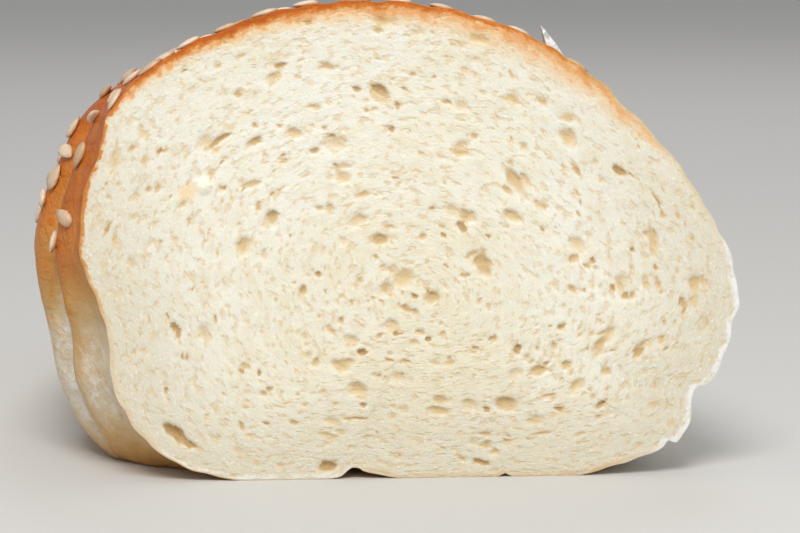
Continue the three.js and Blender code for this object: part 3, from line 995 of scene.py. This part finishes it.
def weight_group(piece, name, weights):
    """A vertex group whose weights come in even steps."""
    group = piece.vertex_groups.new(name=name)
    level = np.rint(weights * WEIGHT_LEVELS).astype(int)
    for step in range(1, WEIGHT_LEVELS + 1):
        group.add(np.flatnonzero(level == step).tolist(), step / WEIGHT_LEVELS, "REPLACE")


def part_crumb_from_crust(roll, ring):
    """Gives the cut face its crumb and the rest its crust, with a sharp edge left by the knife."""
    mesh = roll.data
    make_active(roll)
    bpy.ops.object.shade_smooth()
    corners = np.empty(len(mesh.loops), dtype=int)
    mesh.loops.foreach_get("vertex_index", corners)
    starts = np.empty(len(mesh.polygons), dtype=int)
    mesh.polygons.foreach_get("loop_start", starts)
    outermost = np.maximum.reduceat(ring[corners], starts)
    mesh.polygons.foreach_set("material_index", (outermost > CRUMB_RINGS).astype(np.int32))
    ends = np.empty(len(mesh.edges) * 2, dtype=int)
    mesh.edges.foreach_get("vertices", ends)
    on_rim = (ring[ends.reshape(-1, 2)] == CRUMB_RINGS).all(axis=1)
    bpy.ops.object.mode_set(mode="EDIT")
    bpy.ops.mesh.select_mode(type="EDGE")
    bpy.ops.mesh.select_all(action="DESELECT")
    bpy.ops.object.mode_set(mode="OBJECT")
    mesh.edges.foreach_set("select", on_rim)
    bpy.ops.object.mode_set(mode="EDIT")
    bpy.ops.mesh.mark_sharp()
    bpy.ops.object.mode_set(mode="OBJECT")


# ---- Seeds and salt ----

# Half the size of a seed across, along and through, in millimetres, how much its pointed end is
# drawn in, and how much its blunt end is swelled.
SEED_HALF_SIZE = (0.95, 1.62, 0.46)
POINT_SLIMMER = 0.42
BLUNT_FULLER = 0.06

# Further seeds lie between these lengths along and angles round the roll, as far apart as this in
# millimetres. They thin out down the flanks and towards the tip, and none lies deep in a lap.
SOWN_ALONG = (6.8, 83.0)
SOWN_ROUND = (30.0, 172.0)
SOWN_SPACING = (2.6, 3.8)
THIN_RIGHT = (30, 62)
THIN_LEFT = (174, 146)
THIN_TO_TIP = 0.35
DEEP_IN_LAP = 0.8
SEED_TILT = 0.16
SEED_GROWTH = (0.88, 1.08)
SOWN_PIECES = 4

# How far the frame's grain of salt grows from its tip, and how far it is moved, in millimetres.
SALT_GROWTH = (1.45, 1.3, 1.2)
SALT_SHIFT = (0.2, 0.0, -0.5)


def crust_tree():
    """The finished roll as a search tree, to lay seeds on."""
    roll = bpy.data.objects.get("crescent_roll")
    if roll is None:
        raise RuntimeError("the roll is modelled before its seeds")
    return BVHTree.FromObject(roll, bpy.context.evaluated_depsgraph_get())


def finish_seed(seed, lengthwise, toast):
    """Smooths a seed's shading and marks how far along it each place is, and how toasted it is."""
    set_attribute(seed.data, "tip", (lengthwise - lengthwise.min()) / np.ptp(lengthwise))
    set_attribute(seed.data, "toast", np.full(len(seed.data.vertices), toast))
    make_active(seed)
    bpy.ops.object.shade_smooth()


def sesame():
    """The seeds' material, made once."""
    made = bpy.data.materials.get("sesame_seeds")
    return made or seed_material(bpy.context.scene.crescent_look)


def lay_cad_seed(node, index, crust, sink):
    """Smooths one seed of the frame and sets it into the crust where it lies."""
    seed = copy_node(node, "seed_" + node[-2:])
    apply_modifier(seed, "SUBSURF", "round", levels=1, render_levels=1)
    places = vertex_places(seed.data)
    middle = places.mean(axis=0)
    offset = places - middle
    axes = np.linalg.svd(offset, full_matrices=False)[2]
    lengthwise = offset @ axes[0]
    if (lengthwise**3).sum() < 0:
        lengthwise = -lengthwise
    found, normal, _, _ = crust.find_nearest(Vector(middle))
    height = np.ptp(offset @ axes[2]) / 2
    target = np.array(found) + np.array(normal) * height * (1.0 - 2.0 * sink)
    swell = 1.0 + 0.07 * math.sin(index * 1.7)
    set_vertex_places(seed.data, target + offset * swell)
    dress(seed, sesame())
    finish_seed(seed, lengthwise, (0.5 + 0.5 * math.sin(index * 2.4)) ** 1.3)
    settle(seed, "sesame", node)


def model_seed():
    """A hulled sesame seed in millimetres: a ball drawn out to a flattened drop, pointed ahead."""
    add = bpy.ops.mesh.primitive_uv_sphere_add
    seed = new_piece("sesame_master", add, segments=8, ring_count=6, radius=1.0,
                     rotation=(-math.pi / 2, 0, 0))
    bpy.ops.object.transform_apply(rotation=True)
    rings = np.unique(vertex_places(seed.data)[:, 1].round(4))
    for place in rings:
        select_vertices(seed, np.abs(vertex_places(seed.data)[:, 1] - place) < 0.001)
        slim = 1.0 - POINT_SLIMMER * smoothstep(-0.1, 1.0, place)
        slim += BLUNT_FULLER * smoothstep(0.2, -0.7, place)
        bpy.ops.transform.resize(value=(slim, 1.0, slim), center_override=(0.0, float(place), 0.0))
    bpy.ops.mesh.select_all(action="SELECT")
    bpy.ops.transform.resize(value=SEED_HALF_SIZE, center_override=(0.0, 0.0, 0.0))
    bpy.ops.object.mode_set(mode="OBJECT")
    return seed


def sown_places(sizes, settings, taken):
    """Places along and round the crust for further seeds, spaced apart and clear of those taken."""
    shape = RollShape(sizes)
    draw = random.Random(settings.seed)
    spots = []
    while len(spots) < settings.count:
        along, degrees = draw.uniform(*SOWN_ALONG), draw.uniform(*SOWN_ROUND)
        angle = math.radians(degrees)
        chance = smoothstep(*THIN_RIGHT, degrees) * smoothstep(*THIN_LEFT, degrees)
        chance *= (1.0 - along / shape.length) ** THIN_TO_TIP
        place = shape.point(np.array(along), np.array(angle))
        spacing = draw.uniform(*SOWN_SPACING)
        if draw.random() > chance or float(shape.lap_groove(along, angle)) > DEEP_IN_LAP:
            continue
        if min(math.dist(place, other) for other in taken) < spacing:
            continue
        taken.append(tuple(place))
        spots.append(Vector(place) * MM + shape.foot)
    return spots, draw


def sow_seeds(name, master, spots, draw, crust, sink):
    """One piece of many seeds: a copy of the master at each place, lying on the crust."""
    copies = []
    lengthwise = vertex_places(master.data)[:, 1]
    for spot in spots:
        found, normal, _, _ = crust.find_nearest(spot)
        tilt = Vector([draw.gauss(0, SEED_TILT) for _ in range(3)])
        up = (normal + tilt).normalized()
        spin = draw.uniform(0.0, 2 * math.pi)
        turn = up.to_track_quat("Z", "Y").to_matrix().to_4x4() @ Matrix.Rotation(spin, 4, "Z")
        size = draw.uniform(*SEED_GROWTH) * MM
        height = SEED_HALF_SIZE[2] * size * (1.0 - 2.0 * sink * draw.uniform(0.6, 1.3))
        move = Matrix.Translation(found + normal * height)
        copy = master.copy()
        copy.data = master.data.copy()
        bpy.context.collection.objects.link(copy)
        copy.data.transform(move @ turn @ Matrix.Scale(size, 4))
        finish_seed(copy, lengthwise, draw.random() ** 1.4)
        copies.append(copy)
    deselect_all()
    for copy in copies:
        copy.select_set(True)
    bpy.context.view_layer.objects.active = copies[0]
    bpy.ops.object.join()
    piece = bpy.context.active_object
    piece.name = name
    piece.data.name = name
    dress(piece, sesame())
    settle(piece, "sesame")


def model_salt():
    """The grain of salt: the frame's shard, grown from its tip and with its edges broken."""
    salt = copy_node(SALT_NODE, "salt_crystal")
    bpy.ops.object.mode_set(mode="EDIT")
    bpy.ops.mesh.dissolve_limited(angle_limit=math.radians(3))
    bpy.ops.object.mode_set(mode="OBJECT")
    places = vertex_places(salt.data)
    tip = places[places[:, 2].argmax()]
    set_vertex_places(salt.data, tip + (places - tip) * SALT_GROWTH + np.array(SALT_SHIFT) * MM)
    apply_modifier(salt, "BEVEL", "worn_edges", width=0.16 * MM, segments=2)
    bpy.ops.object.shade_smooth_by_angle(angle=math.radians(35))
    dress(salt, salt_material(bpy.context.scene.crescent_look))
    settle(salt, "salt", SALT_NODE)


# ---- Stage ----

# Places from the foot of the cut, in metres; each light's size, power in watts and colour.
VIEW_CENTRE = Vector((-0.0012, 0.0, 0.0235))
LIT_CENTRE = Vector((0.0, 0.0, 0.025))
LIGHTS = (
    ("key_light", (-0.06, -0.3, 0.42), 0.25, 1.93, (1.0, 0.985, 0.965)),
    ("fill_light", (0.55, -0.5, 0.3), 0.5, 0.5, (0.95, 0.97, 1.0)),
    ("back_light", (0.1, 0.5, 0.6), 0.4, 1.0, (1.0, 0.99, 0.97)),
)
ROOM_LIGHT = 0.45
ROOM_COLOUR = (0.97, 0.98, 1.0, 1.0)
TABLE_RADIUS = 4.0
SENSOR_WIDTH = 36.0


def aim(piece, target):
    """Points a camera or a light at a place."""
    toward = Vector(target) - piece.location
    piece.rotation_euler = toward.to_track_quat("-Z", "Y").to_euler()


def add_soft_light(name, place, target, size, power, colour):
    bpy.ops.object.light_add(type="AREA", location=place)
    light = bpy.context.active_object
    light.name = name
    light.data.shape = "DISK"
    light.data.size = size
    light.data.energy = power
    light.data.color = colour
    aim(light, target)


# ---- Settings ----


def length_prop(name, description, default, low, high):
    return bpy.props.FloatProperty(
        name=name, description=description, default=default, min=low, max=high, unit="LENGTH")


def turn_prop(name, description, degrees, low=-90, high=90):
    return bpy.props.FloatProperty(
        name=name, description=description, default=math.radians(degrees),
        min=math.radians(low), max=math.radians(high), unit="ROTATION")


def count_prop(name, description, default, low=0):
    return bpy.props.IntProperty(name=name, description=description, default=default, min=low)


def share_prop(name, description, default, high):
    return bpy.props.FloatProperty(
        name=name, description=description, default=default, min=0.0, max=high, subtype="FACTOR")


def colour_prop(name, description, default):
    return bpy.props.FloatVectorProperty(
        name=name, description=description, default=default, subtype="COLOR", size=3, min=0.0,
        max=1.0)


class CrescentSizes(bpy.types.PropertyGroup):
    """Sizes of the roll."""

    half_length: length_prop(
        "Half length", "Length from the cut to the tip, along the bend", 0.09, 0.04, 0.15)
    bend_radius: length_prop("Bend radius", "Radius of the crescent's middle line", 0.2, 0.05, 0.5)
    first_heading: turn_prop("First heading", "How far the roll already leans at its cut", 8, 0, 28)
    flank_swell: length_prop(
        "Flank swell", "How far the left flank stands out behind the cut", 0.005, 0.0, 0.01)
    tip_lift: length_prop("Tip lift", "Height of the tip over the tray", 0.004, 0.0, 0.02)
    lap_pitch: length_prop("Lap pitch", "Distance between the edges of two laps", 0.024, 0.01, 0.06)
    lap_depth: length_prop(
        "Lap depth", "How far the crust is drawn in at a lap's edge", 0.0024, 0.0, 0.005)


class CrumbSettings(bpy.types.PropertyGroup):
    """How open the crumb is."""

    pore_count: count_prop("Pores", "Number of further open pores on the cut face", 700)
    pore_seed: count_prop("Pattern", "Which scatter of pores is used", 11)
    pore_depth: share_prop("Pore depth", "How deep the pores are for their width", 0.8, 2.0)


class SeedSettings(bpy.types.PropertyGroup):
    """How the further sesame seeds are sown."""

    count: count_prop("Further seeds", "Seeds sown besides those of the frame", 190, SOWN_PIECES)
    seed: count_prop("Pattern", "Which scatter of seeds is used", 5)
    sink: share_prop("Sink", "Share of a seed's thickness that is under the crust", 0.16, 0.5)


class CrescentLook(bpy.types.PropertyGroup):
    """Colours of the roll, its seeds and the table."""

    crumb_light: colour_prop("Light crumb", "The palest crumb", (0.885, 0.875, 0.78))
    crumb_cream: colour_prop("Cream crumb", "The usual crumb", (0.85, 0.79, 0.61))
    crumb_deep: colour_prop("Deep crumb", "Crumb in the streaks of the coil", (0.79, 0.69, 0.47))
    # Also painted shade: laid more strongly on the crumb low down.
    crumb_outer_and_shade: colour_prop("Outer crumb", "Denser crumb towards the crust", (0.69, 0.63, 0.48))
    crumb_shade: colour_prop("Shaded crumb", "Fine closed pores", (0.58, 0.49, 0.35))
    # Painted highlight: near-white specks on the crumb's thin walls.
    crumb_painted_glint: colour_prop("Painted crumb glint", "Thin bright walls between pores", (0.93, 0.93, 0.88))
    # Painted shade: the colours inside the pores' hollows.
    pore_shade_tan: colour_prop("Tan pores", "Inside of a shallow pore", (0.74, 0.535, 0.26))
    pore_brown: colour_prop("Brown pores", "Inside of a deep pore", (0.47, 0.265, 0.08))
    under_crust: colour_prop("Stained crumb", "Crumb some way below the crust", (0.86, 0.55, 0.24))
    under_crust_deep: colour_prop("Toasted crumb", "Crumb just below the crust", (0.74, 0.31, 0.08))
    egg: colour_prop("Egg stain", "A peach stain on the cut", (0.93, 0.72, 0.43))
    flake: colour_prop("Flake", "A pale crumb of egg on the cut", (0.95, 0.94, 0.76))
    crust_flour: colour_prop("Floured crust", "Unbaked skin under flour", (0.8, 0.74, 0.62))
    crust_pale: colour_prop("Pale crust", "Lightly baked skin", (0.73, 0.58, 0.38))
    crust_tan: colour_prop("Tan crust", "Baked flank", (0.64, 0.38, 0.14))
    crust_gold: colour_prop("Golden crust", "Well baked crust", (0.62, 0.26, 0.055))
    crust_orange: colour_prop("Orange crust", "Glazed top crust", (0.6, 0.165, 0.014))
    # Also laid along the laps' creases as painted shade.
    crust_brown: colour_prop("Brown crust", "Darkest of the glaze", (0.46, 0.1, 0.009))
    crust_dark: colour_prop("Dark blisters", "Blisters that baked first", (0.25, 0.05, 0.01))
    flour: colour_prop("Flour", "Flour left on the skin", (0.9, 0.9, 0.89))
    seed_ivory: colour_prop("Ivory seed", "Hulled sesame", (0.76, 0.62, 0.47))
    seed_toasted: colour_prop("Toasted seed", "Sesame that took colour", (0.56, 0.35, 0.18))
    seed_tip: colour_prop("Seed tip", "The pointed end of a seed", (0.36, 0.17, 0.07))
    salt_clear: colour_prop("Clear salt", "Clear part of the grain", (0.97, 0.98, 0.97))
    salt_cloud: colour_prop("Clouded salt", "Clouded part of the grain", (0.5, 0.53, 0.47))
    floor: colour_prop("Table", "The plain table top", (0.62, 0.61, 0.59))


class StageSettings(bpy.types.PropertyGroup):
    """Camera and lights."""

    azimuth: turn_prop("Azimuth", "How far the camera stands to the right of the cut's front", -4)
    elevation: turn_prop("Elevation", "How far the camera looks down", 8)
    distance: length_prop("Distance", "From the camera to the cut face", 0.3, 0.05, 5.0)
    view_width: length_prop("View width", "Width of the view at the cut face", 0.087, 0.01, 1.0)
    light: share_prop("Light", "Strength of all the lights together", 1.0, 5.0)


# ---- Operators ----


class CrescentOperator:
    """What the operators share."""

    bl_options = {"REGISTER", "UNDO"}


class CRESCENT_OT_set_stage(CrescentOperator, bpy.types.Operator):
    """Lay a plain table, and set the camera and the soft lights"""

    bl_idname = "crescent.set_stage"
    bl_label = "Set Stage"

    def execute(self, context):
        stage = context.scene.crescent_stage
        foot = RollShape(context.scene.crescent_sizes).foot
        target = foot + VIEW_CENTRE
        add = bpy.ops.mesh.primitive_circle_add
        table = new_piece("table", add, vertices=96, radius=TABLE_RADIUS, fill_type="NGON")
        dress(table, table_material(context.scene.crescent_look))

        turn = Matrix.Rotation(stage.azimuth, 3, "Z") @ Matrix.Rotation(-stage.elevation, 3, "X")
        toward = turn @ Vector((0.0, -1.0, 0.0))
        deselect_all()
        bpy.ops.object.camera_add(location=target + toward * stage.distance)
        camera = context.active_object
        camera.name = "camera"
        camera.data.sensor_width = SENSOR_WIDTH
        camera.data.lens = SENSOR_WIDTH * stage.distance / stage.view_width
        camera.data.clip_start = 0.01
        aim(camera, target)
        context.scene.camera = camera

        for name, place, size, power, colour in LIGHTS:
            light_place = foot + Vector(place)
            add_soft_light(name, light_place, foot + LIT_CENTRE, size, power * stage.light, colour)
        world = context.scene.world or bpy.data.worlds.new("room")
        context.scene.world = world
        world.use_nodes = True
        background = world.node_tree.nodes["Background"]
        background.inputs["Color"].default_value = ROOM_COLOUR
        background.inputs["Strength"].default_value = ROOM_LIGHT * stage.light
        context.scene.view_settings.view_transform = "Standard"
        return {"FINISHED"}


class CRESCENT_OT_model_roll(CrescentOperator, bpy.types.Operator):
    """Model the half roll with its cut crumb and its lapped crust"""

    bl_idname = "crescent.model_roll"
    bl_label = "Model Roll"

    def execute(self, context):
        roll = model_roll(context.scene.crescent_sizes, context.scene.crescent_crumb)
        settle(roll, "baked_dough", ROLL_NODE)
        return {"FINISHED"}


class CRESCENT_OT_lay_seeds(CrescentOperator, bpy.types.Operator):
    """Set the frame's sesame seeds into the crust, one by one"""

    bl_idname = "crescent.lay_seeds"
    bl_label = "Lay Seeds"

    def execute(self, context):
        crust = crust_tree()
        for index, node in enumerate(SEED_NODES):
            lay_cad_seed(node, index, crust, context.scene.crescent_seeds.sink)
        return {"FINISHED"}


class CRESCENT_OT_sow_seeds(CrescentOperator, bpy.types.Operator):
    """Sow the further sesame seeds between the frame's seeds"""

    bl_idname = "crescent.sow_seeds"
    bl_label = "Sow Seeds"

    def execute(self, context):
        settings = context.scene.crescent_seeds
        shape = RollShape(context.scene.crescent_sizes)
        taken = []
        for node in (*SEED_NODES, SALT_NODE):
            low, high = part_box(node)
            middle = (Vector(low) + Vector(high)) / 2
            taken.append(tuple((middle - shape.foot) / MM))
        spots, draw = sown_places(context.scene.crescent_sizes, settings, taken)
        master = model_seed()
        crust = crust_tree()
        spots.sort(key=lambda spot: spot.y)
        for part in range(SOWN_PIECES):
            first, last = (len(spots) * k // SOWN_PIECES for k in (part, part + 1))
            name = f"sown_seeds_{part + 1}"
            sow_seeds(name, master, spots[first:last], draw, crust, settings.sink)
        bpy.data.objects.remove(master)
        return {"FINISHED"}


class CRESCENT_OT_model_salt(CrescentOperator, bpy.types.Operator):
    """Model the coarse grain of salt on the rim"""

    bl_idname = "crescent.model_salt"
    bl_label = "Model Salt"

    def execute(self, context):
        model_salt()
        return {"FINISHED"}


class CRESCENT_PT_panel(bpy.types.Panel):
    """The roll's settings and steps in the sidebar"""

    bl_idname = "CRESCENT_PT_panel"
    bl_label = "Crescent Roll"
    bl_space_type = "VIEW_3D"
    bl_region_type = "UI"
    bl_category = "Crescent Roll"

    def draw(self, context):
        layout = self.layout
        for name in GROUPS:
            group = getattr(context.scene, name)
            box = layout.box()
            for key in group.bl_rna.properties.keys():
                if key not in ("rna_type", "name"):
                    box.prop(group, key)
        for operator in OPERATORS:
            layout.operator(operator.bl_idname)


GROUPS = {
    "crescent_sizes": CrescentSizes,
    "crescent_crumb": CrumbSettings,
    "crescent_seeds": SeedSettings,
    "crescent_look": CrescentLook,
    "crescent_stage": StageSettings,
}
OPERATORS = (
    CRESCENT_OT_set_stage,
    CRESCENT_OT_model_roll,
    CRESCENT_OT_lay_seeds,
    CRESCENT_OT_sow_seeds,
    CRESCENT_OT_model_salt,
)


def register():
    for name, group in GROUPS.items():
        bpy.utils.register_class(group)
        setattr(bpy.types.Scene, name, bpy.props.PointerProperty(type=group))
    for cls in (*OPERATORS, CRESCENT_PT_panel):
        bpy.utils.register_class(cls)


def unregister():
    for cls in (CRESCENT_PT_panel, *reversed(OPERATORS)):
        bpy.utils.unregister_class(cls)
    for name, group in reversed(GROUPS.items()):
        delattr(bpy.types.Scene, name)
        bpy.utils.unregister_class(group)


def main():
    register()
    bpy.ops.crescent.set_stage()
    bpy.ops.crescent.model_roll()
    bpy.ops.crescent.lay_seeds()
    bpy.ops.crescent.sow_seeds()
    bpy.ops.crescent.model_salt()


if __name__ == "__main__":
    main()
